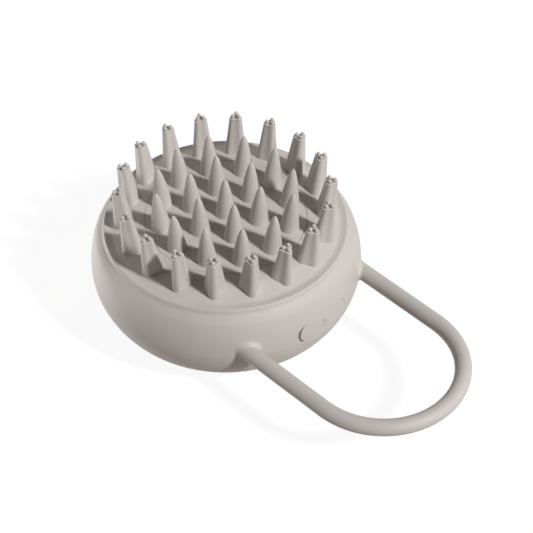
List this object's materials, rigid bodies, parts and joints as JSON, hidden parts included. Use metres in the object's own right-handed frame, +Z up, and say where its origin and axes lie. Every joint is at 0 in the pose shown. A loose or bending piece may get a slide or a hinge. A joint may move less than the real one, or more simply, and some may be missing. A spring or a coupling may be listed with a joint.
{
  "type": "electric scalp massager",
  "caption": "Round hand-held electric scalp massager with soft prongs on a domed face, a side hanging loop, a flap over the charging port and a power button on the palm side.",
  "frame": {"origin": "centre of the flat face it rests on, on the round body's axis", "axes": "+Z up through the prongs, away from the face it rests on; +X from the body's axis along the hanging loop"},
  "size_m": [0.1443, 0.09, 0.0562],
  "materials": {
    "silicone": "matte",
    "housing": "satin",
    "base": "satin",
    "screw": "plain",
    "seal": "matte",
    "socket": "satin",
    "tongue": "satin",
    "board": "satin",
    "wire_black": "matte",
    "wire_red": "matte",
    "motor_steel": "satin",
    "magnet": "matte",
    "bush": "satin",
    "winding": "satin",
    "weight": "satin",
    "cell": "satin",
    "plunger": "satin",
    "led": "gloss",
    "light_pipe": "gloss"
  },
  "bodies": {
    "body": {"outer_sleeve": "silicone", "inner_housing": "housing", "face_plate": "housing", "plate_screws": "screw", "face_seal": "seal", "outer_pad": "silicone", "outer_prongs": "silicone", "centre_pad": "silicone", "inner_prongs": "silicone", "hanging_loop": "silicone", "loop_retainers": "housing", "flap_anchor": "silicone", "usb_socket_shell": "socket", "usb_socket_tongue": "tongue", "port_board": "board", "port_screws": "screw", "port_leads": "wire_black", "chassis": "housing", "chassis_screws": "screw", "motor_can": "motor_steel", "motor_end_cap": "tongue", "motor_magnets": "magnet", "motor_bush": "bush", "motor_clamp": "housing", "motor_screws": "screw", "motor_leads": "wire_red", "battery_cell": "cell", "battery_strap": "seal", "battery_leads": "wire_red", "main_board": "board", "board_chips": "tongue", "tact_switch": "tongue", "status_led": "led", "light_pipe": "light_pipe", "base_gasket": "seal", "base_cover": "base", "base_screws": "screw", "base_pad": "silicone", "button_seal": "silicone"},
    "flap": {"charging_flap": "silicone"},
    "button": {"power_button": "silicone"},
    "plunger": {"switch_plunger": "plunger"},
    "rotor": {"motor_shaft": "motor_steel", "motor_armature": "winding", "eccentric_weight": "weight"}
  },
  "joints": [
    {"name": "flap_hinge", "type": "hinge", "parent": "body", "child": "flap", "pos_m": [0.04352, 0.01145, 0.0224], "axis": [0, 0, 1], "range_deg": [0, 110]},
    {"name": "button_slide", "type": "slide", "parent": "body", "child": "button", "axis": [0, 0, 1], "range_m": [0, 0.0005], "stiffness_N_per_m": 2000},
    {"name": "plunger_slide", "type": "slide", "parent": "body", "child": "plunger", "axis": [0, 0, 1], "range_m": [0, 0.0005]},
    {"name": "motor_spin", "type": "hinge", "parent": "body", "child": "rotor", "pos_m": [0, 0, 0], "axis": [0, 0, 1], "continuous": true}
  ],
  "couplings": [
    {"joint": "plunger_slide", "follows": "button_slide", "ratio": 1}
  ]
}
